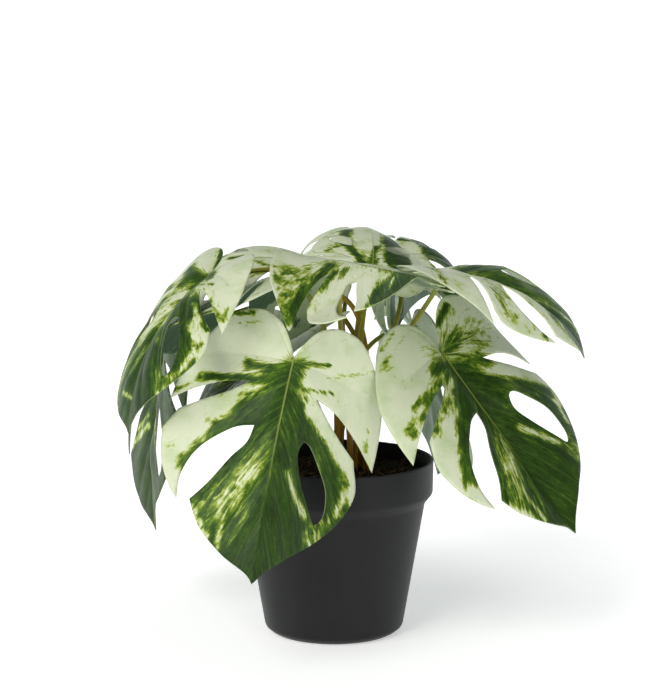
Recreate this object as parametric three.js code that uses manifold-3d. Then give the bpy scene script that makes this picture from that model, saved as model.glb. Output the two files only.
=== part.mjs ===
import * as THREE from 'three';
import { mergeVertices } from 'three/addons/utils/BufferGeometryUtils.js';
import Module from 'manifold-3d';

// Potted marble monstera: a charcoal pot, its soil, fourteen blades cut from one mould, and their stalks.
// Millimetres, +Z up. The origin is the centre of the pot's underside, and the viewer stands on the -Y side.

const GAP = 0.3; // clearance between neighbouring pieces

// Pot
const RIM_RADIUS = 60;
const POT_HEIGHT = 105.5;
const BAND_HEIGHT = 20; // the straight band under the rim
const CHAMFER_HEIGHT = 6; // the slope from the band in to the wall
const NECK_RADIUS = 55; // the wall's radius right under the chamfer
const BASE_RADIUS = 42;
const BASE_ROUNDING = 4;
const ROUNDING_STEPS = 4;
const WALL = 1.5;
const FLOOR = 2; // thickness of the pot's floor
const FLOOR_ROUNDING = 2; // inside, where the floor meets the wall
const BAND_TAPER = 0.3; // how much the band narrows towards its foot
const LIP_ROUNDING = 0.4;
const POT_SEGMENTS = 56;

// Soil
const SOIL_DEPTH = 10; // below the rim, at the wall
const SOIL_MOUND = 2.5; // extra height in the middle
const SOIL_LEVEL = 0.4; // share of the radius over which the mound is level
const SOIL_SEGMENTS = 40;

// Stalks
const CROWN = [7, 0]; // where the stalks come out of the soil
const STALK_RADIUS = 1.6;
const STALK_SIDES = 8;
const STALK_STEPS = 13;
const STALK_SEAT = 14; // how deep a stalk stands in its hole
const STALK_RISE = 6; // straight stretch above the soil

// Blades
const BLADE_THICKNESS = 0.8;
const NET_SPACING = 0.13; // distance between points inside a blade, in lengths of its midrib
const MIDRIB_SPACING = 0.1;
const NET_COLUMNS = 4; // points in half a row
const NET_START = 0.04; // the first row's distance from the stalk, in lengths
const SWERVE_RATE = 0.1; // sideways bend at the tip for a swerve of 1, in lengths
const HANG_RATE = 0.4;
const HANG_END = 0.35; // where along the midrib a basal lobe's hang ends
const TOUCH = 1e-9; // smallest area that counts, in the mould's units

// The mould, one half at a time, in lengths of the midrib: the first number is the distance out
// from the midrib and the second the distance from the stalk towards the tip.
const TIP = [0, 1];
const SINUS = [0, -0.02]; // the notch where the stalk joins
const BASAL_TIP = [0.57, 0.31];
const BASAL_MARGIN = [
  SINUS, [0.04, -0.1], [0.1, -0.17], [0.2, -0.21], [0.33, -0.18], [0.43, -0.08], [0.51, 0.05],
  [0.55, 0.19], BASAL_TIP,
];
const BASAL_REACH = [0, 0, 0, 0, 0.35, 0.7, 1, 1, 1]; // how far each point follows a lobe's reach
const REACH_CENTRE = [0.22, 0];
const FIRST_CUT_BACK = [BASAL_TIP, [0.44, 0.22], [0.3, 0.15], [0.17, 0.12]];
const FIRST_CUT_REACH = [1, 0.7, 0.3, 0];
const FIRST_CUT_FRONT = {
  P: [[0.17, 0.12], [0.26, 0.18], [0.37, 0.24], [0.47, 0.3]],
  Q: [[0.17, 0.12], [0.26, 0.19], [0.37, 0.26], [0.48, 0.32]],
};
// Half P has a second open cut; half Q has a closed oval hole in its place.
const MIDDLE_MARGIN = [[0.47, 0.3], [0.52, 0.41], [0.5, 0.54], [0.45, 0.64], [0.4, 0.7]];
const SECOND_CUT_BACK = [[0.4, 0.7], [0.4, 0.58], [0.34, 0.45], [0.21, 0.34], [0.11, 0.31]];
const SECOND_CUT_FRONT = [[0.11, 0.31], [0.13, 0.39], [0.19, 0.47], [0.27, 0.6], [0.34, 0.69]];
const TIP_MARGIN = [[0.34, 0.69], [0.28, 0.8], [0.16, 0.9], [0.04, 0.96], TIP];
const WHOLE_MARGIN = [
  [0.48, 0.32], [0.53, 0.46], [0.46, 0.61], [0.33, 0.74], [0.19, 0.84], [0.06, 0.94], TIP,
];
const OVAL_HOLE = [
  [0.15, 0.33], [0.135, 0.39], [0.18, 0.48], [0.26, 0.6], [0.31, 0.66], [0.36, 0.61], [0.35, 0.49],
  [0.27, 0.39], [0.2, 0.33],
];

// One entry for each leaf. at: where its stalk joins; heading: the compass bearing of its midrib, with 0
// along +X and 90 along +Y; pitch: how far the midrib starts above the level; roll: its lean about the
// midrib; droop: how far the midrib turns down over its length; fold: how far each half drops from the
// midrib; curl: how far a half turns down across its width; swerve: the midrib's sideways bend; hang:
// how much each basal lobe hangs; reach: the size of each basal lobe; foot: the stalk's place in the
// soil, as a bearing and a distance from the crown; bow: how far the stalk's two guides lie from its ends;
// arrive: how far the stalk leans towards the tip where it meets the blade.
const LEAVES = [
  { name: 'front_left', at: [-23, -84, 177], heading: 239, pitch: -65, roll: -46, length: 126,
    droop: 2, fold: 30, curl: -6, swerve: -0.5, hang: [-0.9, -1.7], reach: [0.85, 1.1],
    foot: [240, 15], bow: [0.3, 0.5], arrive: 27 },
  { name: 'front_right', at: [64, -21, 173], heading: 342, pitch: -53, roll: 20, length: 131,
    droop: -10, fold: -22, curl: 43, swerve: 0.8, hang: [0.7, 0.3], reach: [1.1, 0.85],
    foot: [340, 6], bow: [0.5, 0.35], arrive: 27 },
  { name: 'left_upper', at: [-73, -47, 221], heading: 208, pitch: -32, roll: 6, length: 105,
    droop: 50, fold: -8, curl: 39, swerve: -1, hang: [-1.1, -0.5], reach: [1, 1],
    foot: [220, 5], bow: [0.45, 0.8], arrive: 70 },
  { name: 'left_hanging', at: [-101, 45, 177], heading: 191, pitch: -77, roll: -6, length: 127,
    droop: 16, fold: -16, curl: 26, swerve: -0.2, hang: [1, 0.4], reach: [1, 1],
    foot: [20, 16], bow: [0.9, 0.8], arrive: 27 },
  { name: 'back_left', at: [-25, 34, 220], heading: 184, pitch: 21, roll: -16, length: 90,
    droop: 100, fold: -6, curl: 39, swerve: 0, hang: [0.3, 0.3], reach: [1, 1],
    foot: [140, 5], bow: [0.45, 0.8], arrive: 70 },
  { name: 'top_front', at: [4, -70, 233], heading: 299, pitch: 0, roll: 8, length: 95,
    droop: -2, fold: 36, curl: -19, swerve: 0.7, hang: [-3.5, -0.9], reach: [1.2, 1],
    foot: [280, 15], bow: [0.5, 0.35], arrive: 27 },
  { name: 'top_back', at: [12, 88, 216], heading: 89, pitch: 30, roll: 13, length: 99,
    droop: 51, fold: 18, curl: 61, swerve: 0, hang: [-0.1, -0.1], reach: [1, 1],
    foot: [80, 15], bow: [0.3, 0.5], arrive: 27 },
  { name: 'top_young', at: [23, 2, 221], heading: 86, pitch: 35, roll: 14, length: 72,
    droop: 43, fold: 9, curl: 25, swerve: -0.2, hang: [0, -0.2], reach: [1, 1],
    foot: [20, 11], bow: [0.3, 0.5], arrive: 27 },
  { name: 'right_back', at: [31, 59, 218], heading: 8, pitch: 25, roll: 22, length: 82,
    droop: 114, fold: -7, curl: 36, swerve: -1, hang: [-1.9, -0.7], reach: [1, 1],
    foot: [60, 16], bow: [0.45, 0.3], arrive: 70 },
  { name: 'right_upper', at: [63, -29, 221], heading: 356, pitch: 0, roll: 10, length: 106,
    droop: 66, fold: -14, curl: 41, swerve: -0.9, hang: [-2.1, 1.9], reach: [1, 1],
    foot: [340, 15], bow: [0.5, 0.35], arrive: 27 },
  { name: 'right_hanging', at: [52, 120, 169], heading: 64, pitch: -56, roll: 42, length: 129,
    droop: 12, fold: -7, curl: 21, swerve: 0, hang: [-0.1, -1.1], reach: [1, 0.9],
    foot: [60, 6], bow: [0.3, 0.35], arrive: 27 },
  { name: 'back_right', at: [40, 57, 216], heading: 74, pitch: -2, roll: -19, length: 88,
    droop: 32, fold: 33, curl: 45, swerve: -0.5, hang: [-0.2, -1], reach: [1, 1],
    foot: [40, 15], bow: [0.5, 0.35], arrive: 27 },
  { name: 'left_inner', at: [-9, 40, 181], heading: 170, pitch: -28, roll: -16, length: 119,
    droop: 32, fold: -17, curl: 15, swerve: 0, hang: [-0.7, -0.3], reach: [1.1, 1],
    foot: [100, 15], bow: [0.5, 0.35], arrive: 27 },
  { name: 'left_middle', at: [-22, -37, 221], heading: 179, pitch: -15, roll: 24, length: 102,
    droop: 24, fold: 7, curl: 29, swerve: 0, hang: [0.1, 0.1], reach: [1, 1],
    foot: [240, 11], bow: [0.3, 0.35], arrive: 27 },
];

// Colours, roughness
const POT_LOOK = { color: 0x38383a, roughness: 0.55 };
const SOIL_LOOK = { color: 0x2b211a, roughness: 0.95 };
const STALK_LOOK = { color: 0x8a6a28, roughness: 0.5 };
const BLADE_LOOK = { color: 0x6f9350, roughness: 0.38 };

const radians = THREE.MathUtils.degToRad;
const wasm = await Module();
wasm.setup();

function named(name, geometry, look) {
  const mesh = new THREE.Mesh(geometry, new THREE.MeshStandardMaterial({ metalness: 0, ...look }));
  mesh.name = name;
  return mesh;
}

// Solids for cutting

function solid(geometry) {
  const bare = geometry.clone();
  bare.deleteAttribute('normal');
  bare.deleteAttribute('uv');
  const merged = mergeVertices(bare, 1e-4);
  return new wasm.Manifold(new wasm.Mesh({
    numProp: 3,
    vertProperties: new Float32Array(merged.attributes.position.array),
    triVerts: new Uint32Array(merged.index.array),
  }));
}

function geometryOf(body) {
  const net = body.getMesh();
  const geometry = new THREE.BufferGeometry();
  geometry.setAttribute('position', new THREE.BufferAttribute(new Float32Array(net.vertProperties), 3));
  geometry.setIndex(new THREE.BufferAttribute(new Uint32Array(net.triVerts), 1));
  geometry.computeVertexNormals();
  return geometry;
}

// Pot and soil, turned about the pot's axis

function turned(profile, segments) {
  const points = profile.map(([radius, height]) => new THREE.Vector2(radius, height));
  return new THREE.LatheGeometry(points, segments).rotateX(Math.PI / 2);
}

const BAND_BOTTOM = POT_HEIGHT - BAND_HEIGHT;
const NECK_HEIGHT = BAND_BOTTOM - CHAMFER_HEIGHT;
const INNER_BASE = BASE_RADIUS - WALL;

function potProfile() {
  const rounding = [];
  for (let step = 0; step <= ROUNDING_STEPS; step += 1) {
    const angle = (step / ROUNDING_STEPS) * (Math.PI / 2);
    rounding.push([
      BASE_RADIUS - BASE_ROUNDING + BASE_ROUNDING * Math.sin(angle),
      BASE_ROUNDING * (1 - Math.cos(angle)),
    ]);
  }
  return [
    [0, 0],
    ...rounding,
    [NECK_RADIUS, NECK_HEIGHT],
    [RIM_RADIUS - BAND_TAPER, BAND_BOTTOM],
    [RIM_RADIUS, POT_HEIGHT - LIP_ROUNDING],
    [RIM_RADIUS - LIP_ROUNDING, POT_HEIGHT],
    [RIM_RADIUS - WALL + LIP_ROUNDING, POT_HEIGHT],
    [RIM_RADIUS - WALL, POT_HEIGHT - LIP_ROUNDING],
    [RIM_RADIUS - BAND_TAPER - WALL, BAND_BOTTOM],
    [NECK_RADIUS - WALL, NECK_HEIGHT],
    [INNER_BASE, FLOOR + BASE_ROUNDING],
    [INNER_BASE - FLOOR_ROUNDING, FLOOR],
    [0, FLOOR],
  ];
}

function soilProfile() {
  const top = POT_HEIGHT - SOIL_DEPTH;
  const edge = RIM_RADIUS - BAND_TAPER - WALL - GAP;
  return [
    [0, FLOOR + GAP],
    [INNER_BASE - FLOOR_ROUNDING - GAP, FLOOR + GAP],
    [INNER_BASE - GAP, FLOOR + BASE_ROUNDING],
    [NECK_RADIUS - WALL - GAP, NECK_HEIGHT],
    [edge, BAND_BOTTOM + GAP],
    [edge, top],
    [(edge * (1 + SOIL_LEVEL)) / 2, top + SOIL_MOUND / 2],
    [edge * SOIL_LEVEL, top + SOIL_MOUND],
    [0, top + SOIL_MOUND],
  ];
}

const SOIL_TOP = POT_HEIGHT - SOIL_DEPTH + SOIL_MOUND;

function footOf(leaf) {
  const [bearing, distance] = leaf.foot;
  return new THREE.Vector2(
    CROWN[0] + distance * Math.cos(radians(bearing)),
    CROWN[1] + distance * Math.sin(radians(bearing)),
  );
}

function drilledSoil() {
  let body = solid(turned(soilProfile(), SOIL_SEGMENTS));
  const depth = STALK_SEAT + GAP;
  for (const leaf of LEAVES) {
    const foot = footOf(leaf);
    const hole = new THREE.CylinderGeometry(STALK_RADIUS + GAP, STALK_RADIUS + GAP, 2 * depth, STALK_SIDES);
    hole.rotateX(Math.PI / 2).translate(foot.x, foot.y, SOIL_TOP);
    body = body.subtract(solid(hole));
  }
  return geometryOf(body);
}

// The mould's outline

function stretched(points, shares, reach) {
  return points.map(([out, along], index) => {
    const share = 1 + (reach - 1) * shares[index];
    return [
      REACH_CENTRE[0] + (out - REACH_CENTRE[0]) * share,
      REACH_CENTRE[1] + (along - REACH_CENTRE[1]) * share,
    ];
  });
}

function spline(points, stepsEach, closed = false) {
  const loop = closed ? [...points.slice(-1), ...points, ...points.slice(0, 2)] : points;
  const curve = new THREE.SplineCurve(loop.map(([out, along]) => new THREE.Vector2(out, along)));
  const sampled = curve.getPoints(stepsEach * (loop.length - 1));
  if (!closed) return sampled.slice(0, -1);
  return sampled.slice(stepsEach, stepsEach * (points.length + 1));
}

// The half's outline without its midrib, from the sinus to just before the tip.
function halfMargin(half, reach) {
  const basal = spline(stretched(BASAL_MARGIN, BASAL_REACH, reach), 2);
  const back = spline(stretched(FIRST_CUT_BACK, FIRST_CUT_REACH, reach), 1);
  const front = spline(FIRST_CUT_FRONT[half], 1);
  if (half === 'Q') return [...basal, ...back, ...front, ...spline(WHOLE_MARGIN, 2)];
  return [
    ...basal,
    ...back,
    ...front,
    ...spline(MIDDLE_MARGIN, 2),
    ...spline(SECOND_CUT_BACK, 1),
    ...spline(SECOND_CUT_FRONT, 1),
    ...spline(TIP_MARGIN, 2),
  ];
}

// The whole blade's outline, half P on positive x and half Q on negative x.
function bladeOutline(leaf) {
  const right = halfMargin('P', leaf.reach[0]);
  const left = halfMargin('Q', leaf.reach[1]).slice(1).reverse();
  const mirrored = left.map((point) => new THREE.Vector2(-point.x, point.y));
  return [...right, new THREE.Vector2(...TIP), ...mirrored];
}

function ovalHole() {
  return spline(OVAL_HOLE, 2, true).map((point) => new THREE.Vector2(-point.x, point.y));
}

// Points set inside the blade: first a row along the midrib, so that the fold has a clean line.
function innerPoints() {
  const inner = [];
  for (let along = SINUS[1] + MIDRIB_SPACING; along < 0.96; along += MIDRIB_SPACING) {
    inner.push(new THREE.Vector2(0, along));
  }
  const rowHeight = (NET_SPACING * Math.sqrt(3)) / 2;
  for (let row = -2; row * rowHeight < 1; row += 1) {
    const shift = row % 2 === 0 ? 0 : 0.5;
    for (let column = 1; column <= NET_COLUMNS; column += 1) {
      const out = (column - shift) * NET_SPACING;
      const along = row * rowHeight + NET_START;
      inner.push(new THREE.Vector2(out, along), new THREE.Vector2(-out, along));
    }
  }
  return inner;
}

// A net of triangles over the flat blade: the outline is split into triangles, points are set inside it,
// and shared sides are turned until no triangle's circle holds a neighbour's corner.

function turnOf(a, b, c) {
  return (b.x - a.x) * (c.y - a.y) - (b.y - a.y) * (c.x - a.x);
}

function holds(triangle, points, point) {
  const [a, b, c] = triangle.map((index) => points[index]);
  return turnOf(a, b, point) > TOUCH && turnOf(b, c, point) > TOUCH && turnOf(c, a, point) > TOUCH;
}

function inCircle(a, b, c, point) {
  const rows = [a, b, c].map((corner) => {
    const x = corner.x - point.x;
    const y = corner.y - point.y;
    return [x, y, x * x + y * y];
  });
  const [[ax, ay, aw], [bx, by, bw], [cx, cy, cw]] = rows;
  return ax * (by * cw - bw * cy) - ay * (bx * cw - bw * cx) + aw * (bx * cy - by * cx) > 1e-12;
}

function sideMap(triangles) {
  const sides = new Map();
  triangles.forEach((triangle, index) => {
    for (let corner = 0; corner < 3; corner += 1) {
      sides.set(`${triangle[corner]},${triangle[(corner + 1) % 3]}`, [index, triangle[(corner + 2) % 3]]);
    }
  });
  return sides;
}

function turnSides(triangles, points) {
  for (let round = 0; round < 40; round += 1) {
    const sides = sideMap(triangles);
    const touched = new Set();
    for (const [side, [left, leftCorner]] of sides) {
      const [from, to] = side.split(',').map(Number);
      const other = sides.get(`${to},${from}`);
      if (!other || from > to || touched.has(left) || touched.has(other[0])) continue;
      const [right, rightCorner] = other;
      const [a, b, c, d] = [from, to, leftCorner, rightCorner].map((index) => points[index]);
      const convex = turnOf(d, b, c) > TOUCH && turnOf(d, c, a) > TOUCH;
      if (!convex || !inCircle(a, b, c, d)) continue;
      triangles[left] = [from, rightCorner, leftCorner];
      triangles[right] = [rightCorner, to, leftCorner];
      touched.add(left);
      touched.add(right);
    }
    if (touched.size === 0) return;
  }
}

function farFromOutline(point, outline) {
  return outline.every((corner) => corner.distanceTo(point) > 0.5 * NET_SPACING);
}

function flatNet(outline, holes, inner) {
  const points = [outline, ...holes].flat();
  const triangles = THREE.ShapeUtils.triangulateShape(outline, holes).map(([a, b, c]) => (
    turnOf(points[a], points[b], points[c]) > 0 ? [a, b, c] : [a, c, b]
  ));
  const edge = [...points];
  for (const point of inner) {
    const index = triangles.findIndex((triangle) => holds(triangle, points, point));
    if (index < 0 || !farFromOutline(point, edge)) continue;
    const [a, b, c] = triangles[index];
    points.push(point);
    const centre = points.length - 1;
    triangles.splice(index, 1, [a, b, centre], [b, c, centre], [c, a, centre]);
    turnSides(triangles, points);
  }
  return { points, triangles };
}

// The bent surface

function leafFrame(leaf) {
  const turn = new THREE.Matrix4().makeRotationZ(radians(leaf.heading - 90));
  turn.multiply(new THREE.Matrix4().makeRotationX(radians(leaf.pitch)));
  turn.multiply(new THREE.Matrix4().makeRotationY(radians(leaf.roll)));
  return turn.setPosition(...leaf.at);
}

// A point of the blade's middle surface in the leaf's own frame: x to the midrib's right, y along it.
function bent(leaf, x, along) {
  const side = x < 0 ? -1 : 1;
  const across = Math.abs(x) * leaf.length;
  const droopRate = radians(leaf.droop) / leaf.length || 1e-6;
  const curlRate = (2 * radians(leaf.curl)) / leaf.length || 1e-6;
  const fold = radians(leaf.fold);
  const turn = droopRate * along * leaf.length;
  const hang = leaf.hang[x < 0 ? 1 : 0];
  const sideways = (Math.sin(fold + curlRate * across) - Math.sin(fold)) / curlRate;
  const drop = (Math.cos(fold) - Math.cos(fold + curlRate * across)) / curlRate
    + HANG_RATE * hang * across * Math.max(HANG_END - along, 0);
  return new THREE.Vector3(
    side * sideways + SWERVE_RATE * leaf.swerve * leaf.length * along * along,
    Math.sin(turn) / droopRate - drop * Math.sin(turn),
    (Math.cos(turn) - 1) / droopRate - drop * Math.cos(turn),
  );
}

// The surface's upward normal; on the midrib both halves share one.
function upward(leaf, x, along) {
  const turn = radians(leaf.droop) * along;
  if (Math.abs(x) < 1e-6) return new THREE.Vector3(0, Math.sin(turn), Math.cos(turn));
  const step = 1e-3;
  const across = bent(leaf, x + step, along).sub(bent(leaf, x - step, along));
  const forward = bent(leaf, x, along + step).sub(bent(leaf, x, along - step));
  return across.cross(forward).normalize();
}

function bladeGeometry(leaf) {
  const net = flatNet(bladeOutline(leaf), [ovalHole()], innerPoints());
  const frame = leafFrame(leaf);
  const count = net.points.length;
  const top = [];
  const bottom = [];
  for (const { x, y } of net.points) {
    const middle = bent(leaf, x, y);
    const normal = upward(leaf, x, y).multiplyScalar(BLADE_THICKNESS / 2);
    top.push(...middle.clone().add(normal).applyMatrix4(frame).toArray());
    bottom.push(...middle.clone().sub(normal).applyMatrix4(frame).toArray());
  }
  const faces = [];
  for (const [a, b, c] of net.triangles) faces.push(a, b, c, a + count, c + count, b + count);
  const sides = sideMap(net.triangles);
  for (const side of sides.keys()) {
    const [from, to] = side.split(',').map(Number);
    if (sides.has(`${to},${from}`)) continue;
    faces.push(from, from + count, to + count, from, to + count, to);
  }
  const geometry = new THREE.BufferGeometry();
  geometry.setAttribute('position', new THREE.Float32BufferAttribute([...top, ...bottom], 3));
  geometry.setIndex(faces);
  geometry.computeVertexNormals();
  return geometry;
}

// Stalks: a straight foot in the soil, then a curve to the underside of the blade

function stalkGeometry(leaf) {
  const foot = footOf(leaf);
  const frame = leafFrame(leaf);
  const fold = Math.max(radians(leaf.fold), 0);
  const arrive = radians(leaf.arrive);
  const arrival = new THREE.Vector3(0, Math.sin(arrive), Math.cos(arrive));
  const below = BLADE_THICKNESS / 2 + GAP + STALK_RADIUS * (arrival.y + Math.tan(fold));
  const end = new THREE.Vector3(0, 1, -below).applyMatrix4(frame);
  arrival.transformDirection(frame);
  const bottom = new THREE.Vector3(foot.x, foot.y, SOIL_TOP - STALK_SEAT);
  const start = new THREE.Vector3(foot.x, foot.y, SOIL_TOP + STALK_RISE);
  const reach = start.distanceTo(end);
  const path = new THREE.CurvePath();
  path.add(new THREE.LineCurve3(bottom, start));
  path.add(new THREE.CubicBezierCurve3(
    start,
    start.clone().add(new THREE.Vector3(0, 0, leaf.bow[0] * reach)),
    end.clone().addScaledVector(arrival, -leaf.bow[1] * reach),
    end,
  ));
  const ring = new THREE.Shape();
  for (let corner = 0; corner < STALK_SIDES; corner += 1) {
    const angle = (2 * Math.PI * corner) / STALK_SIDES;
    const place = [STALK_RADIUS * Math.cos(angle), STALK_RADIUS * Math.sin(angle)];
    if (corner === 0) ring.moveTo(...place);
    else ring.lineTo(...place);
  }
  return new THREE.ExtrudeGeometry(ring, { steps: STALK_STEPS, extrudePath: path, bevelEnabled: false });
}

const plant = new THREE.Group();
plant.add(named('pot', turned(potProfile(), POT_SEGMENTS), POT_LOOK));
plant.add(named('soil', drilledSoil(), SOIL_LOOK));
for (const leaf of LEAVES) {
  plant.add(named(`blade_${leaf.name}`, bladeGeometry(leaf), BLADE_LOOK));
  plant.add(named(`stalk_${leaf.name}`, stalkGeometry(leaf), STALK_LOOK));
}

export default plant;
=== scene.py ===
"""Dresses the potted marble monstera: marbled blades, stalks, soil and pot, on a pale lit floor."""

from math import cos, pi, radians, sin, sqrt, tan
from typing import NamedTuple

import bmesh
import bpy
import numpy as np
from bpy.props import FloatProperty, FloatVectorProperty, IntProperty, PointerProperty
from bpy.types import Operator, Panel, PropertyGroup
from mathutils import Matrix, Vector
from mathutils.geometry import delaunay_2d_cdt


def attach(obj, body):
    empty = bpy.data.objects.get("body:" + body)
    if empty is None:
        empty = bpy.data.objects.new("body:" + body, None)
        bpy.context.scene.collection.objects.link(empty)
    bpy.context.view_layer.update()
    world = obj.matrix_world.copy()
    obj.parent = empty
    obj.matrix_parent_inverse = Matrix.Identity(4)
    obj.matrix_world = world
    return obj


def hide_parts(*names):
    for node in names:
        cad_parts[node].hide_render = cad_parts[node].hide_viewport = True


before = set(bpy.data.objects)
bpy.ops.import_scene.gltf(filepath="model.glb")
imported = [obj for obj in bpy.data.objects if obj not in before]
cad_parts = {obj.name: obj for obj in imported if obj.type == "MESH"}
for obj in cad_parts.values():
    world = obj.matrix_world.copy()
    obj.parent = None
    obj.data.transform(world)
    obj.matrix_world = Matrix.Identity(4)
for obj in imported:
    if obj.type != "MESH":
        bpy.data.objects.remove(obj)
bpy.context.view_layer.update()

bl_info = {
    "name": "Potted marble monstera",
    "version": (1, 0, 0),
    "blender": (4, 5, 0),
    "location": "3D View > Sidebar > Monstera",
    "description": "Builds a potted marble monstera around its solids",
    "category": "Object",
}

MM = 0.001

# The mould of the blade, as in the solids: lengths of the midrib, out from it and along it to the tip.
BASAL_MARGIN = [
    (0, -0.02), (0.04, -0.1), (0.1, -0.17), (0.2, -0.21), (0.33, -0.18), (0.43, -0.08), (0.51, 0.05),
    (0.55, 0.19), (0.57, 0.31),
]
BASAL_REACH = (0, 0, 0, 0, 0.35, 0.7, 1, 1, 1)
REACH_CENTRE = np.array((0.22, 0.0))
FIRST_CUT_BACK = [(0.57, 0.31), (0.44, 0.22), (0.3, 0.15), (0.17, 0.12)]
FIRST_CUT_REACH = (1, 0.7, 0.3, 0)
FIRST_CUT_FRONT = {
    "P": [(0.17, 0.12), (0.26, 0.18), (0.37, 0.24), (0.47, 0.3)],
    "Q": [(0.17, 0.12), (0.26, 0.19), (0.37, 0.26), (0.48, 0.32)],
}
MIDDLE_MARGIN = [(0.47, 0.3), (0.52, 0.41), (0.5, 0.54), (0.45, 0.64), (0.4, 0.7)]
SECOND_CUT_BACK = [(0.4, 0.7), (0.4, 0.58), (0.34, 0.45), (0.21, 0.34), (0.11, 0.31)]
SECOND_CUT_FRONT = [(0.11, 0.31), (0.13, 0.39), (0.19, 0.47), (0.27, 0.6), (0.34, 0.69)]
TIP_MARGIN = [(0.34, 0.69), (0.28, 0.8), (0.16, 0.9), (0.04, 0.96), (0, 1)]
WHOLE_MARGIN = [
    (0.48, 0.32), (0.53, 0.46), (0.46, 0.61), (0.33, 0.74), (0.19, 0.84), (0.06, 0.94), (0, 1),
]
OVAL_HOLE = [
    (0.15, 0.33), (0.135, 0.39), (0.18, 0.48), (0.26, 0.6), (0.31, 0.66), (0.36, 0.61), (0.35, 0.49),
    (0.27, 0.39), (0.2, 0.33),
]


class Leaf(NamedTuple):
    """A leaf, in millimetres and degrees. It is placed at its notch, turned and then bent.

    Hang and reach are those of half P and half Q. Foot is the stalk's bearing and distance from the crown.
    """

    name: str
    at: tuple
    heading: float
    pitch: float
    roll: float
    length: float
    droop: float
    fold: float
    curl: float
    hang: tuple
    foot: tuple
    swerve: float = 0
    reach: tuple = (1, 1)
    bow: tuple = (0.3, 0.5)
    arrive: float = 27


LEAVES = [
    Leaf("front_left", at=(-23, -84, 177), heading=239, pitch=-65, roll=-46, length=126, droop=2, fold=30,
         curl=-6, swerve=-0.5, hang=(-0.9, -1.7), reach=(0.85, 1.1), foot=(240, 15)),
    Leaf("front_right", at=(64, -21, 173), heading=342, pitch=-53, roll=20, length=131, droop=-10, fold=-22,
         curl=43, swerve=0.8, hang=(0.7, 0.3), reach=(1.1, 0.85), foot=(340, 6), bow=(0.5, 0.35)),
    Leaf("left_upper", at=(-73, -47, 221), heading=208, pitch=-32, roll=6, length=105, droop=50, fold=-8,
         curl=39, swerve=-1, hang=(-1.1, -0.5), foot=(220, 5), bow=(0.45, 0.8), arrive=70),
    Leaf("left_hanging", at=(-101, 45, 177), heading=191, pitch=-77, roll=-6, length=127, droop=16, fold=-16,
         curl=26, swerve=-0.2, hang=(1, 0.4), foot=(20, 16), bow=(0.9, 0.8)),
    Leaf("back_left", at=(-25, 34, 220), heading=184, pitch=21, roll=-16, length=90, droop=100, fold=-6,
         curl=39, hang=(0.3, 0.3), foot=(140, 5), bow=(0.45, 0.8), arrive=70),
    Leaf("top_front", at=(4, -70, 233), heading=299, pitch=0, roll=8, length=95, droop=-2, fold=36, curl=-19,
         swerve=0.7, hang=(-3.5, -0.9), reach=(1.2, 1), foot=(280, 15), bow=(0.5, 0.35)),
    Leaf("top_back", at=(12, 88, 216), heading=89, pitch=30, roll=13, length=99, droop=51, fold=18, curl=61,
         hang=(-0.1, -0.1), foot=(80, 15)),
    Leaf("top_young", at=(23, 2, 221), heading=86, pitch=35, roll=14, length=72, droop=43, fold=9, curl=25,
         swerve=-0.2, hang=(0, -0.2), foot=(20, 11)),
    Leaf("right_back", at=(31, 59, 218), heading=8, pitch=25, roll=22, length=82, droop=114, fold=-7,
         curl=36, swerve=-1, hang=(-1.9, -0.7), foot=(60, 16), bow=(0.45, 0.3), arrive=70),
    Leaf("right_upper", at=(63, -29, 221), heading=356, pitch=0, roll=10, length=106, droop=66, fold=-14,
         curl=41, swerve=-0.9, hang=(-2.1, 1.9), foot=(340, 15), bow=(0.5, 0.35)),
    Leaf("right_hanging", at=(52, 120, 169), heading=64, pitch=-56, roll=42, length=129, droop=12, fold=-7,
         curl=21, hang=(-0.1, -1.1), reach=(1, 0.9), foot=(60, 6), bow=(0.3, 0.35)),
    Leaf("back_right", at=(40, 57, 216), heading=74, pitch=-2, roll=-19, length=88, droop=32, fold=33,
         curl=45, swerve=-0.5, hang=(-0.2, -1), foot=(40, 15), bow=(0.5, 0.35)),
    Leaf("left_inner", at=(-9, 40, 181), heading=170, pitch=-28, roll=-16, length=119, droop=32, fold=-17,
         curl=15, hang=(-0.7, -0.3), reach=(1.1, 1), foot=(100, 15), bow=(0.5, 0.35)),
    Leaf("left_middle", at=(-22, -37, 221), heading=179, pitch=-15, roll=24, length=102, droop=24, fold=7,
         curl=29, hang=(0.1, 0.1), foot=(240, 11), bow=(0.3, 0.35)),
]

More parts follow.
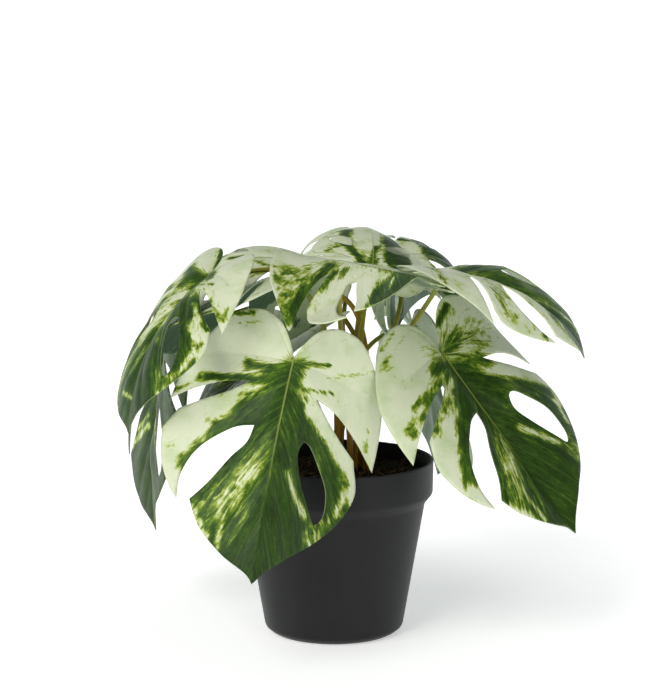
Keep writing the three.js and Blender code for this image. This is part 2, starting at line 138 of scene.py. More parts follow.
# Marbling strokes, painted in order, in hundredths of the midrib: from, to and half width. Then the tone
# from -1, cream, to 1, dark green. Half P of the mould lies at positive x.
PRINT = [
    ((0, 55), (0, 100), 36, 0.8), ((0, 6), (0, 55), 8, 0.75), ((3, 5), (20, 5), 3, 0.75),
    ((3, 9), (40, 14), 2, 0.6), ((40, 14), (52, 24), 1.2, 0.2), ((2, 16), (14, 24), 7, 0.75),
    ((6, 29), (24, 37), 5.5, 0.7), ((33, 44), (45, 62), 3.5, 0.6), ((42, 66), (50, 45), 3, -0.7),
    ((20, 42), (33, 60), 2, -0.6), ((31, 64), (33, 68), 2, 0.7), ((5, 28), (10, 56), 4.5, 0.45),
    ((18, 62), (28, 74), 7, 0.35), ((7, 66), (13, 84), 3.5, 0.5), ((6, 48), (19, 66), 5, 0.1),
    ((19, 68), (18, 87), 1.5, -0.1), ((25, 84), (33, 76), 3, -0.45), ((-8, 26), (-44, 62), 13, 0.7),
    ((-4, 20), (-46, 42), 4, 0.65), ((-16, 18), (-48, 36), 3, -0.65), ((-46, 48), (-44, 58), 2, -0.35),
    ((-10, 48), (-24, 64), 1.8, -0.15), ((-34, 71), (-30, 74), 3, -0.02), ((-28, 70), (-40, 62), 3, 0.3),
    ((-2, 0), (-20, -4), 1.4, 0.5), ((-8, 10), (-26, 7), 1, 0.3), ((-20, 2), (-45, -8), 1, -0.15),
    ((-50, 16), (-53, 26), 1.2, 0.1), ((20, -15), (38, -10), 1, -0.05), ((24, -19), (36, -15), 1, 0.3),
]
# More strokes for single leaves.
ALL_PALE = ((0, 0), (0, 100), 80, -0.65)
EXTRA = {
    "front_right": [
        ((24, 20), (42, 27), 3, 0.25), ((20, 12), (50, 22), 3, 0.3), ((28, 36), (42, 52), 4.5, 0.7),
        ((-4, 6), (-16, 14), 6, 0.5), ((-10, -4), (-32, 0), 11, -0.22), ((4, 0), (16, -4), 5, -0.2),
        ((-2, 0), (-14, -2), 3, 0.45), ((-6, -12), (-18, -17), 1.6, 0.85),
        ((-38, -12), (-45, -9), 1.4, 0.7),
    ],
    "left_upper": [
        ((22, -8), (18, -14), 18, -0.65), ((15, -21), (-14, 4), 3, 0.65), ((22, 0), (-2, 5), 5, 0.75),
        ((9, 9), (8, 15), 5, 0.6), ((4, 15), (10, 22), 5, -0.3), ((4, 33), (20, 70), 10, -0.05),
        ((2, 43), (13, 66), 2.4, 0.6), ((20, 50), (30, 70), 2, 0.5), ((-13, 60), (-16, 78), 13, 0.85),
        ((11, 76), (0, 95), 8.7, 0.75), ((12, 79), (-1, 81), 1.2, 0), ((-20, 25), (-34, 51), 10, 0.78),
        ((-23, 22), (-46, 34), 1.8, -0.1), ((-31, 22), (-47, 33), 1, 0.8),
        ((-32, 33), (-45, 40), 2.5, -0.3), ((-16, -8), (-50, 9), 6, -0.65),
        ((-24, 12), (-51, 24), 2.5, 0.1), ((-25, 65), (-33, 76), 3.2, 0.2),
    ],
    "left_hanging": [
        ((0, 35), (0, 100), 60, 0.85), ((32, 64), (7, 49), 2, -0.15), ((22, 54), (8, 44), 1.2, -0.1),
        ((0, 37), (-20, 51), 2, 0.05), ((-38, 40), (-20, 51), 1.4, -0.1),
    ],
    "back_left": [
        ALL_PALE, ((6, 44), (4, 36), 2.5, 0.5), ((55, 20), (20, 50), 3, 0.7),
        ((-10, 25), (-15, 16), 2, 0.15), ((-29, 27), (-23, 18), 2, 0.15),
    ],
    "top_front": [
        ALL_PALE, ((-20, 30), (-16, 95), 20, 0.5), ((10, 3), (47, 5), 7.5, 0.18),
        ((28, 10), (56, 25), 11, 0.16), ((12, 5), (55, 26), 3, 0.75), ((15, 15), (30, 22), 2.4, 0.4),
        ((8, 17), (16, 24), 2.8, 0.2), ((12, 35), (31, 62), 1.4, -0.11), ((6, 45), (11, 62), 1.2, -0.1),
        ((12, 82), (2, 94), 17, 0.72), ((5, 74), (14, 82), 1, 0),
    ],
    "top_back": [
        ALL_PALE, ((-20, 18), (-5, 15), 1.4, 0.15), ((-28, 45), (-9, 48), 1.8, 0),
    ],
    "top_young": [
        ALL_PALE, ((-20, 74), (-25, 42), 5.5, 0.85), ((-25, 42), (-9, 4), 4, 0.8),
        ((-11, 23), (-1, 6), 2, 0.05), ((17, 66), (19, 15), 9, 0.8), ((21, 55), (30, 30), 10, 0.8),
        ((3, 29), (-1, 6), 3, 0.7), ((11, 70), (3, 6), 1.6, 0.08), ((-40, 30), (-29, 34), 2.6, 0.1),
        ((-39, 70), (-30, 76), 4, 0.05),
    ],
    "right_back": [
        ALL_PALE, ((-50, 58), (50, 58), 26, 0.65), ((0, 80), (0, 100), 30, 0.8), ((4, 37), (8, 38), 2, 0.1),
        ((-25, 21), (-16, 60), 3, 0.6),
    ],
    "right_upper": [
        ALL_PALE, ((-10, 20), (-30, 80), 16, 0.55), ((-2, 25), (0, 100), 7, 0.6),
        ((2, -12), (47, 2), 3, 0.1), ((18, 24), (42, 40), 6.5, 0.05), ((22, 43), (43, 56), 1.2, 0.3),
        ((25, 57), (41, 63), 3.5, 0.7), ((20, 50), (36, 70), 2.5, -0.1), ((8, 74), (2, 95), 15, 0.78),
        ((15, 68), (25, 78), 1.6, 0),
    ],
}

# Colours, sRGB
PALE = "d3d9bc"
PALE_GREEN = "b6c795"
PALE_STREAK = "c3cfa4"
GREENS = [  # from the edge of a green patch to its middle
    (0.34, "c4cf98"), (0.45, "a9b768"), (0.52, "8f9f38"), (0.63, "527020"), (0.8, "324d17"), (1.0, "233811"),
]
RIB = "8d9c4c"
# The underside's colours are greyer, darker copies of the face's: partly its own duller tone, partly painted
# shade where it faces away from the light.
SHADED_BACK_PALE = "a6b68f"
SHADED_BACK_GREY = "9db08c"
SHADED_BACK_DARK = "34543c"
BACK_RIB = "8c9a58"
CUT_PALE = "cfd8b4"
CUT_GREEN = "a9bb80"
STALK_COLOURS = [  # from the foot to the blade
    (0.0, "8a5e07"), (0.3, "9a700a"), (0.6, "907c14"), (0.85, "7f882a"), (1.0, "8c9a4c"),
]
STALK_PATCH = "644509"
# Near-black ground colours: the soil's own dark tone with painted shade of the pot's interior.
SHADED_SOIL_COLOURS = ("120c08", "2c1d13")
CRUMB_COLOURS = ("1c120b", "4e3621")
FIBRE_COLOURS = ("5a4127", "927349")
POT_COLOUR = "1b1b1d"
SCUFF = "8a8a88"
FLOOR_COLOURS = ("f4f4f3", "f9f9f9")
FLOOR_GLOW = ("cccccc", "f2f2f2")
SKY = (0.88, 0.96, 1.0, 1)
LAMP_COLOUR = (1.0, 0.985, 0.95)

# Blade, in lengths of the midrib
VEIN_SPACING = 0.2
VEIN_OFFSET = 0.085
VEIN_RISE = 0.5
VEIN_SPREAD = 2.8
BASAL_SPREAD = 0.22
GROUND_TONE = -0.7  # tone of a blade without strokes
FEATHER = 0.05  # half the width over which a stroke fades
NET_SIDE = 45  # points of the net to each side of the midrib
NET_BELOW = 20  # rows of the net below the notch
EDGE_GAP = 0.5  # spacings that the net keeps from the margin
MIDRIB_GAP = 1.6  # spacings that it keeps from the midrib
MIDRIB_STEP = 0.7  # spacings between the points along the midrib
MIDRIB_END = 0.97
MIDRIB_ROWS = (-0.016, -0.006, 0.0, 0.006, 0.016)
RIB_WIDTH = 0.005
GROOVE_WIDTH = 0.02
WAVE_LENGTH = 0.62
SWELLS = ((0.3, 9), (1.4, 13), (2.3, 17), (0.9, 23), (1.9, 29))  # bearing and rate in radians
SWERVE_RATE = 0.1
HANG_RATE = 0.4
HANG_BELOW = 0.35  # the basal lobes hang below this place on the midrib
FLAT_LENGTH = 65  # a blade this short in millimetres would have no relief
TONE_CHANGE = 0.06  # the most that a leaf's tone differs from the print
NOISE_DEPTH = 40  # the leaves read the noises between 0 and this

# Stalks, pot and soil, in millimetres
SOIL_TOP = 98.0
STALK_SEAT = 14.0
STALK_RISE = 6.0
CROWN = (7.0, 0.0)
CAD_STALK_RADIUS = 1.6
CAD_THICKNESS = 0.8
CAD_GAP = 0.3
SUNK_MIDRIB = 0.45
STALK_SIDES = 14
STALK_RINGS = 60
FOOT_SHARE = 1.12  # a stalk's radius at its foot, as a share of that halfway up
TAPER = 0.24  # share of the radius that is lost on the way up
KNEE_PLACE = 0.955  # as a share of the stalk's length, like the next one
KNEE_WIDTH = 0.03
POT_OUTSIDE = [(0, 0), (38, 0), (42, 4), (55, 79.5), (59.7, 85.5), (60, 105.1), (59.6, 105.5)]
POT_INSIDE = [(58.9, 105.5), (58.5, 105.1), (58.2, 85.5), (53.5, 79.5), (40.5, 6), (38.5, 2), (0, 2)]
POT_SLOPE = (40.2, 1.6)  # on the slope of the foot, before its upper corner is rounded
FOOT_ARC = 3.5
EDGE_ARC = 1.4
SOIL_RADIUS = 57.9
SOIL_RINGS = 70
SOIL_SEGMENTS = 200
SOIL_FALL = 2.5  # how much lower the soil lies at the wall
LEVEL_SHARE = 0.4  # share of the soil's radius that is level
SMOOTH_BAND = 2.0  # the lumps fade out this near the wall
LUMP_RATES = (90, 160, 260, 420, 700, 1100)  # radians in a metre
LUMP_SHARE = 60  # a wave is as high as this divided by its rate
LUMP_SEED = 5
SCATTER_SEED = 11
CRUMB_REACH = 55.5
CRUMB_SIZES = (0.5, 2.5)
CRUMB_STRETCH = (0.6, 1.25)
CRUMB_LIFT = 0.25  # as a share of the crumb's size, like the next one
CRUMB_DENTS = 0.168
CRUMB_TURN = 6.28
FIBRE_START = 50
FIBRE_REACH = 56
FIBRE_LENGTHS = (4, 12)
FIBRE_BEND = 0.3
FIBRE_LIFTS = (0.4, 1.6)
FIBRE_RADII = (0.15, 0.35)
FIBRE_SIDES = 5

# Stage, in metres
FLOOR_REACH = 30.0
LAMP_TARGET = Vector((0, 0, 0.13))
KEY_PLACE = (-0.8, -1.0, 1.05)
FRONT_PLACE = (0.9, -1.4, 0.6)
FRONT_SIZE = 0.9
CAMERA_SIDE = 0.0003


def linear(code):
    """A shader colour from an sRGB hex code."""
    parts = [int(code[i : i + 2], 16) / 255 for i in (0, 2, 4)]
    return (*[c / 12.92 if c <= 0.04045 else ((c + 0.055) / 1.055) ** 2.4 for c in parts], 1.0)


# Settings


def setting(name, description, default, **more):
    """A number that the sidebar shows."""
    return FloatProperty(name=name, description=description, default=default, **more)


class MonsteraBladeSettings(PropertyGroup):
    """Sizes of the blades"""

    thickness: setting("Thickness", "Thickness of a blade", 0.7 * MM, unit="LENGTH", min=0.2 * MM)
    spacing: setting("Net spacing", "Distance between points inside a blade, in midribs", 0.0145)
    quilting: setting("Quilting", "Rise of the blade between two veins", 1.3 * MM, unit="LENGTH")
    wave: setting("Wave", "How far the margin waves up and down", 0.8 * MM, unit="LENGTH")
    groove: setting("Groove", "Depth of the groove over the midrib", 1.0 * MM, unit="LENGTH")
    rib: setting("Rib", "Height of the raised midrib in its groove", 0.55 * MM, unit="LENGTH")
    dent: setting("Dents", "Height of the blade's uneven swells", 0.55 * MM, unit="LENGTH")
    seed: IntProperty(name="Seed", description="Start of the leaves' own differences", default=3)


class MonsteraStalkSettings(PropertyGroup):
    """Sizes of the stalks"""

    radius: setting("Radius", "Radius halfway up a stalk", 1.55 * MM, unit="LENGTH")
    knee: setting("Knee", "Extra radius under the blade", 0.35 * MM, unit="LENGTH")
    point: setting("Point", "Radius of its end inside the blade", 0.3 * MM, unit="LENGTH")


class MonsteraPotSettings(PropertyGroup):
    """Looks of the pot"""

    segments: IntProperty(name="Segments", description="Faces around the pot", default=160, min=24)
    colour: FloatVectorProperty(
        name="Colour", description="Colour of the pot", default=linear(POT_COLOUR)[:3], subtype="COLOR"
    )


class MonsteraSoilSettings(PropertyGroup):
    """Looks of the soil"""

    crumbs: IntProperty(name="Crumbs", description="Number of crumbs on the soil", default=900, min=0)
    fibres: IntProperty(name="Fibres", description="Number of plant fibres on the soil", default=70, min=0)
    roughness: setting("Unevenness", "Height of the soil's lumps", 1.2 * MM, unit="LENGTH")


class MonsteraStageSettings(PropertyGroup):
    """Floor, lights and camera"""

    distance: setting("Camera distance", "From the pot's axis", 1300 * MM, unit="LENGTH")
    height: setting("Camera height", "Above the floor", 368 * MM, unit="LENGTH")
    pitch: setting("Camera pitch", "Down from the level", radians(8.6), subtype="ANGLE")
    lens: setting("Lens", "Focal length on a 36 mm sensor", 112.9)
    dome: setting("Dome", "Brightness of the white dome overhead", 0.2)
    horizon: setting("Horizon", "Brightness of the dome's foot behind", 1.22)
    key: setting("Key light", "Strength of the broad light at the left", 2.1)
    spread: setting("Key spread", "Width of the key light", radians(40), subtype="ANGLE")
    fill: setting("Fill light", "Watts of the light at the front", 4.5)
    glow: setting("Floor glow", "Light that the floor gives off itself", 0.75)


# Meshes


def make_object(name, vertices, faces, materials, smooth=True):
    """An object of the scene with its own mesh."""
    mesh = bpy.data.meshes.new(name)
    mesh.from_pydata([tuple(v) for v in vertices], [], [tuple(f) for f in faces])
    mesh.update()
    mesh.polygons.foreach_set("use_smooth", [smooth] * len(mesh.polygons))
    for material in materials:
        mesh.materials.append(material)
    made = bpy.data.objects.new(name, mesh)
    bpy.context.scene.collection.objects.link(made)
    return made


def add_uv(mesh, name, values):
    """A UV map with one pair for each vertex."""
    layer = mesh.uv_layers.new(name=name)
    index = np.empty(len(mesh.loops), int)
    mesh.loops.foreach_get("vertex_index", index)
    layer.uv.foreach_set("vector", np.asarray(values, float)[index].ravel())


def add_attribute(mesh, name, values):
    """A number for each vertex, which a material can read."""
    layer = mesh.attributes.new(name, "FLOAT", "POINT")
    layer.data.foreach_set("value", np.asarray(values, float))


def lathe(profile, segments):
    """Vertices and faces of a profile of (radius, height) turned about Z, with one vertex on the axis."""
    vertices, faces, rows = [], [], []
    for radius, height in profile:
        count = segments if radius > 1e-7 else 1
        rows.append([len(vertices) + step for step in range(count)])
        for step in range(count):
            angle = 2 * pi * step / segments
            vertices.append((radius * cos(angle), radius * sin(angle), height))
    for low, high in zip(rows, rows[1:]):
        for step in range(segments):
            after = (step + 1) % segments
            corners = [low[step % len(low)], low[after % len(low)]]
            corners += [high[after % len(high)], high[step % len(high)]]
            faces.append(tuple(dict.fromkeys(corners)))
    return vertices, faces


def rounded(profile, radius, steps=4):
    """The profile with an arc at each inner corner."""
    points = [np.array(p, float) for p in profile]
    out = [points[0]]
    for before, corner, after in zip(points, points[1:], points[2:]):
        back, ahead = before - corner, after - corner
        reach = min(radius, 0.45 * np.linalg.norm(back), 0.45 * np.linalg.norm(ahead))
        start = corner + back / np.linalg.norm(back) * reach
        end = corner + ahead / np.linalg.norm(ahead) * reach
        for step in range(steps + 1):
            u = step / steps
            out.append((1 - u) ** 2 * start + 2 * u * (1 - u) * corner + u**2 * end)
    out.append(points[-1])
    return out


def sweep(path, radii, sides):
    """Vertices and faces of a tube along a path, closed at both ends."""
    path = np.asarray(path, float)
    tangents = np.gradient(path, axis=0)
    tangents /= np.linalg.norm(tangents, axis=1, keepdims=True)
    side = np.cross(tangents[0], (0.3, 0.9, 0.1))
    side /= np.linalg.norm(side)
    vertices, faces = [], []
    angles = 2 * pi * np.arange(sides) / sides
    for point, tangent, radius in zip(path, tangents, radii):
        side = side - tangent * side.dot(tangent)
        side /= np.linalg.norm(side)
        other = np.cross(tangent, side)
        vertices.extend(point + radius * (np.cos(angles)[:, None] * side + np.sin(angles)[:, None] * other))
    last = (len(path) - 1) * sides
    for low in range(0, last, sides):
        for step in range(sides):
            after = (step + 1) % sides
            faces.append((low + step, low + after, low + sides + after, low + sides + step))
    faces.append(tuple(range(sides))[::-1])
    faces.append(tuple(range(last, last + sides)))
    return vertices, faces


# The flat blade


def spline(points, steps, closed=False):
    """Points on a curve through the given points, without the last one."""
    points = np.array(points, float)
    count = len(points)
    out = []
    for index in range(count if closed else count - 1):
        if closed:
            a, b, c, d = (points[(index + k) % count] for k in (-1, 0, 1, 2))
        else:
            a, b = points[max(index - 1, 0)], points[index]
            c, d = points[index + 1], points[min(index + 2, count - 1)]
        start, end = (c - a) / 2, (d - b) / 2
        for step in range(steps):
            t = step / steps
            cubic = (2 * b - 2 * c + start + end) * t**3
            out.append(cubic + (3 * c - 3 * b - 2 * start - end) * t**2 + start * t + b)
    return np.array(out)


def stretched(points, shares, reach):
    """The points moved out from the basal lobe's centre, each by its share of the reach."""
    share = 1 + (reach - 1) * np.array(shares)[:, None]
    return REACH_CENTRE + (np.array(points) - REACH_CENTRE) * share


def half_margin(half, reach):
    """The margin of one half of the mould, from the notch to the tip."""
    basal = spline(stretched(BASAL_MARGIN, BASAL_REACH, reach), 10)
    back = spline(stretched(FIRST_CUT_BACK, FIRST_CUT_REACH, reach), 9)
    front = spline(FIRST_CUT_FRONT[half], 8)
    if half == "Q":
        return np.vstack([basal, back, front, spline(WHOLE_MARGIN, 12)])
    middle = [spline(MIDDLE_MARGIN, 9), spline(SECOND_CUT_BACK, 9), spline(SECOND_CUT_FRONT, 9)]
    return np.vstack([basal, back, front, *middle, spline(TIP_MARGIN, 10)])


def inside(points, loop):
    """Which points lie inside a closed loop."""
    x, y = points[:, :1], points[:, 1:]
    a, b = loop, np.roll(loop, -1, axis=0)
    spans = (a[:, 1] > y) != (b[:, 1] > y)
    rise = np.where(np.abs(b[:, 1] - a[:, 1]) < 1e-12, 1e-12, b[:, 1] - a[:, 1])
    crossing = a[:, 0] + (y - a[:, 1]) / rise * (b[:, 0] - a[:, 0])
    return (spans & (x < crossing)).sum(axis=1) % 2 == 1


def blade_net(spacing):
    """A net of points in rows, with rows along the midrib instead near it."""
    rows = []
    height = spacing * sqrt(3) / 2
    for row in range(-NET_BELOW, int(1 / height) + 1):
        columns = (np.arange(-NET_SIDE, NET_SIDE + 1) + 0.5 * (row % 2)) * spacing
        rows.append(np.stack([columns, np.full(len(columns), row * height)], axis=1))
    net = np.vstack(rows)
    net = net[np.abs(net[:, 0]) > MIDRIB_GAP * spacing]
    along = np.arange(0.0, MIDRIB_END, MIDRIB_STEP * spacing)
    return np.vstack([net, *(np.stack([np.full(len(along), x), along], axis=1) for x in MIDRIB_ROWS)])


def flat_blade(leaf, spacing):
    """Points and triangles of the flat blade, half P on positive x."""
    right = half_margin("P", leaf.reach[0])
    left = half_margin("Q", leaf.reach[1])[1:][::-1] * (-1, 1)
    outline = np.vstack([right, [(0, 1)], left])
    hole = spline(OVAL_HOLE, 8, closed=True) * (-1, 1)
    edge = np.vstack([outline, hole])
    net = blade_net(spacing)
    gaps = ((net[:, None, :] - edge[None, :, :]) ** 2).sum(axis=2).min(axis=1)
    net = net[(gaps > (EDGE_GAP * spacing) ** 2) & inside(net, outline) & ~inside(net, hole)]
    first, last = len(outline), len(edge)
    sides = [(i, (i + 1) % first) for i in range(first)]
    sides += [(i, i + 1 if i + 1 < last else first) for i in range(first, last)]
    points = [Vector(p) for p in np.vstack([edge, net])]
    found, _, triangles, *_ = delaunay_2d_cdt(points, sides, [], 0, 1e-7)
    points = np.array([tuple(p) for p in found])
    triangles = np.array([tuple(t) for t in triangles])
    centres = points[triangles].mean(axis=1)
    return points, triangles[inside(centres, outline) & ~inside(centres, hole)]


def vein_coordinates(points):
    """For each flat point, its distance along its lateral vein, and where that vein leaves the midrib."""
    x, y = np.abs(points[:, 0]), points[:, 1]
    lowest = VEIN_RISE * (x + x**2)
    root = (y - lowest) / (1 + VEIN_SPREAD * x)
    fan = (np.arctan2(y, x + 1e-4) - np.arctan2(lowest, x + 1e-4)) * BASAL_SPREAD
    start = np.where(root > 0, root, fan)
    along = np.where(root > 0, np.hypot(x, y - root), np.hypot(x, y))
    return np.stack([along, start], axis=1)


def painted_tone(points, strokes):
    """The marbling's tone: the strokes one over the other on a pale ground."""
    tone = np.full(len(points), GROUND_TONE)
    for start, end, width, value in strokes:
        start, width = np.array(start) / 100, width / 100
        line = np.array(end) / 100 - start
        share = np.clip((points - start) @ line / (line @ line), 0, 1)
        gap = np.linalg.norm(points - start - share[:, None] * line, axis=1)
        cover = np.clip(0.5 + (width - gap) / (2 * min(FEATHER, width)), 0, 1)
        cover = cover**2 * (3 - 2 * cover)
        tone += (value - tone) * cover
    return tone


# The bent blade


def leaf_matrix(leaf):
    """The leaf's own frame, in metres."""
    turn = Matrix.Rotation(radians(leaf.heading - 90), 4, "Z")
    turn = turn @ Matrix.Rotation(radians(leaf.pitch), 4, "X")
    turn = turn @ Matrix.Rotation(radians(leaf.roll), 4, "Y")
    return np.array(Matrix.Translation(Vector(leaf.at) * MM) @ turn)


def placed(matrix, points):
    """The points moved from a frame into the scene."""
    return points @ matrix[:3, :3].T + matrix[:3, 3]


def bent(leaf, points):
    """The bent middle surface in the leaf's own frame, in metres."""
    x, along = points[:, 0], points[:, 1]
    length = leaf.length * MM
    side = np.where(x < 0, -1, 1)
    across = np.abs(x) * length
    droop_rate = radians(leaf.droop) / length or 1e-6
    curl_rate = 2 * radians(leaf.curl) / length or 1e-6
    fold = radians(leaf.fold)
    turn = droop_rate * along * length
    hang = np.where(x < 0, leaf.hang[1], leaf.hang[0])
    sideways = (np.sin(fold + curl_rate * across) - sin(fold)) / curl_rate
    drop = (cos(fold) - np.cos(fold + curl_rate * across)) / curl_rate
    drop += HANG_RATE * hang * across * np.maximum(HANG_BELOW - along, 0)
    x = side * sideways + SWERVE_RATE * leaf.swerve * length * along**2
    y = np.sin(turn) / droop_rate - drop * np.sin(turn)
    z = (np.cos(turn) - 1) / droop_rate - drop * np.cos(turn)
    return np.stack([x, y, z], axis=1)


def vertex_normals(points, triangles):
    """The normal at each point, from the triangles around it."""
    corners = points[triangles]
    faces = np.cross(corners[:, 1] - corners[:, 0], corners[:, 2] - corners[:, 0])
    normals = np.zeros_like(points)
    for corner in range(3):
        np.add.at(normals, triangles[:, corner], faces)
    return normals / (np.linalg.norm(normals, axis=1, keepdims=True) + 1e-12)


def relief(flat, veins, settings, phase):
    """How far the surface rises between its veins, sinks at the midrib and waves at the margin."""
    out, along = np.abs(flat[:, 0]), flat[:, 1]
    # The relief fades out at the midrib, at the ends of the veins and at the tip.
    fade = np.clip(out / 0.1, 0, 1) * np.clip((0.62 - veins[:, 0]) / 0.35, 0.05, 1)
    fade *= np.clip((0.97 - along) / 0.25, 0, 1)
    pleats = np.abs(np.sin(pi * (veins[:, 1] - VEIN_OFFSET) / VEIN_SPACING))
    thinning = np.clip(1.15 - along, 0.15, 1)
    rib = settings.rib * np.exp(-((out / RIB_WIDTH) ** 2)) * thinning
    groove = settings.groove * np.exp(-((out / GROOVE_WIDTH) ** 2)) * thinning
    wave = settings.wave * (out / 0.5) ** 2 * np.sin(phase + 2 * pi * along / WAVE_LENGTH)
    swell = np.zeros(len(flat))
    for bearing, rate in SWELLS:
        place = flat[:, 0] * cos(bearing) + along * sin(bearing)
        swell += np.sin(rate * place + phase * bearing * 7) * 9 / rate
    return settings.quilting * fade * pleats + wave - groove + rib + settings.dent * swell * fade


# Shapes of the stalks, the pot and the soil


def stalk_path(leaf):
    """Points along a stalk, from its hole in the soil to its end inside the blade, under the midrib."""
    bearing, distance = radians(leaf.foot[0]), leaf.foot[1]
    foot = np.array([CROWN[0] + distance * cos(bearing), CROWN[1] + distance * sin(bearing), 0])
    arrive, fold = radians(leaf.arrive), max(radians(leaf.fold), 0)
    below = CAD_THICKNESS / 2 + CAD_GAP + CAD_STALK_RADIUS * (sin(arrive) + tan(fold))
    matrix = leaf_matrix(leaf)
    end = placed(matrix, np.array([[0, 1, -below]]) * MM)[0]
    arrival = matrix[:3, :3] @ np.array([0, sin(arrive), cos(arrive)])
    bottom = (foot + (0, 0, SOIL_TOP - STALK_SEAT)) * MM
    start = (foot + (0, 0, SOIL_TOP + STALK_RISE)) * MM
    reach = np.linalg.norm(end - start)
    first = start + np.array([0, 0, leaf.bow[0] * reach])
    second = end - arrival * leaf.bow[1] * reach
    s = np.linspace(0, 1, STALK_RINGS)[:, None]
    curve = (1 - s) ** 3 * start + 3 * (1 - s) ** 2 * s * first + 3 * (1 - s) * s**2 * second + s**3 * end
    straight = np.linspace(0, 1, 6)[:-1, None] * (start - bottom) + bottom
    tip = end + arrival * (below - SUNK_MIDRIB) / cos(arrive) * MM
    return np.vstack([straight, curve, [tip]])


def pot_profile():
    """The pot's section with rounded edges, from the middle of its base to the middle of its floor."""
    foot = rounded(POT_OUTSIDE[:3], FOOT_ARC)[:-1]
    return foot + rounded([POT_SLOPE, *POT_OUTSIDE[2:], *POT_INSIDE], EDGE_ARC)[1:]


def lumps(x, y):
    """Seeded unevenness from a few crossing waves."""
    draw = np.random.default_rng(LUMP_SEED)
    total = np.zeros_like(x)
    for rate in LUMP_RATES:
        for _ in range(4):
            angle, phase = draw.uniform(0, 2 * pi, 2)
            total += np.sin(rate * (x * cos(angle) + y * sin(angle)) + phase) * LUMP_SHARE / rate
    return total


def soil_height(settings, x, y, unevenness=1.0):
    """Height of the soil in metres at places in metres."""
    out = np.hypot(x, y) / (SOIL_RADIUS * MM)
    fall = SOIL_FALL * np.clip((out - LEVEL_SHARE) / (1 - LEVEL_SHARE), 0, 1)
    return (SOIL_TOP - fall) * MM + settings.roughness * lumps(x, y) * unevenness


def soil_ground(settings, material):
    """The lumpy ground, smooth where it meets the wall."""
    radius = SOIL_RADIUS * MM
    profile = [(radius * (ring / SOIL_RINGS), 0.0) for ring in range(SOIL_RINGS + 1)]
    vertices, faces = lathe(profile, SOIL_SEGMENTS)
    vertices = np.array(vertices)
    x, y = vertices[:, 0], vertices[:, 1]
    inner = np.clip((radius - np.hypot(x, y)) / (SMOOTH_BAND * MM), 0, 1)
    vertices[:, 2] = soil_height(settings, x, y, inner)
    return make_object("soil_ground", vertices, faces, [material])


def scattered(draw, reach):
    """A place on the soil in metres, within reach of the pot's axis."""
    out = reach * MM * sqrt(draw.uniform())
    bearing = draw.uniform(0, 2 * pi)
    return out * cos(bearing), out * sin(bearing)


def soil_crumbs(settings, draw, material):
    """Crumbs of many sizes, each stretched, dented and turned its own way."""
    ball = bmesh.new()
    bmesh.ops.create_icosphere(ball, subdivisions=2, radius=1.0)
    ball.verts.index_update()
    shape = np.array([tuple(v.co) for v in ball.verts])
    cells = np.array([[v.index for v in face.verts] for face in ball.faces])
    ball.free()
    smallest, largest = CRUMB_SIZES
    vertices, faces = [], []
    for _ in range(settings.crumbs):
        x, y = scattered(draw, CRUMB_REACH)
        size = (smallest + (largest - smallest) * draw.uniform() ** 3) * MM
        z = soil_height(settings, x, y) + CRUMB_LIFT * size
        stretch = draw.uniform(*CRUMB_STRETCH, 3)
        dents = 1 + CRUMB_DENTS * draw.standard_normal(len(shape))[:, None]
        turn = np.array(Matrix.Rotation(draw.uniform(0, CRUMB_TURN), 3, Vector(draw.standard_normal(3))))
        faces.extend(cells + len(vertices))
        vertices.extend((shape * stretch * dents) @ turn.T * size + (x, y, z))
    return make_object("soil_crumbs", vertices, faces, [material], smooth=False)


def soil_fibres(settings, draw, material):
    """Thin bent fibres lying on the soil, kept clear of the wall."""
    vertices, faces = [], []
    steps = np.linspace(-0.5, 0.5, 8)
    rim = FIBRE_REACH * MM
    for _ in range(settings.fibres):
        x, y = scattered(draw, FIBRE_START)
        heading = draw.uniform(0, 2 * pi)
        length = draw.uniform(*FIBRE_LENGTHS) * MM
        bend = draw.uniform(-FIBRE_BEND, FIBRE_BEND) * length
        x = x + length * steps * cos(heading) - bend * steps**2 * sin(heading)
        y = y + length * steps * sin(heading) + bend * steps**2 * cos(heading)
        keep = rim / np.maximum(np.hypot(x, y), rim)
        x, y = x * keep, y * keep
        z = soil_height(settings, x, y) + draw.uniform(*FIBRE_LIFTS) * MM
        radius = draw.uniform(*FIBRE_RADII) * MM
        tube, cells = sweep(np.stack([x, y, z], axis=1), radius * (1.1 - np.abs(steps)), FIBRE_SIDES)
        faces.extend(tuple(i + len(vertices) for i in cell) for cell in cells)
        vertices.extend(tube)
    return make_object("soil_fibres", vertices, faces, [material])


# Shader groups


